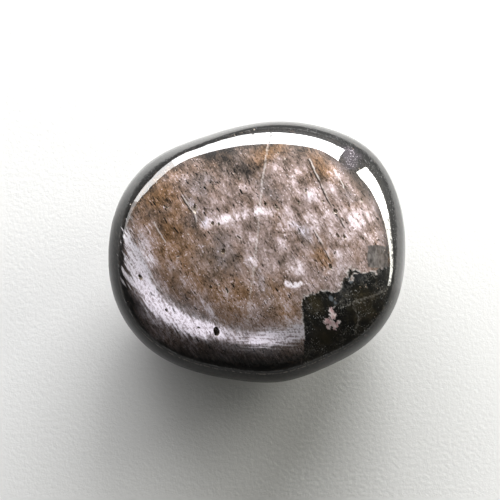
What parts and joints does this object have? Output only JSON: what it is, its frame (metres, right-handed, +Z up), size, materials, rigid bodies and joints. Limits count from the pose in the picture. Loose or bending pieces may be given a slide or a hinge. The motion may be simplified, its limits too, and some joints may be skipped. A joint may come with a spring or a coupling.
{
  "type": "polished hypersthene pebble",
  "caption": "Tumbled and polished hypersthene pebble: a flattened oval stone with a domed top, worn soft facets and a small flat spot to rest on.",
  "frame": {"origin": "middle of the stone's footprint, on the surface that it rests on", "axes": "+X along the stone's length, +Y along its width, +Z up out of the domed top face"},
  "size_m": [0.036, 0.032, 0.0165],
  "materials": {
    "hypersthene": "high polish over dark brown stone with a bronze to silvery pink sheen"
  },
  "bodies": {
    "root": {"polished_stone": "hypersthene"}
  },
  "joints": []
}
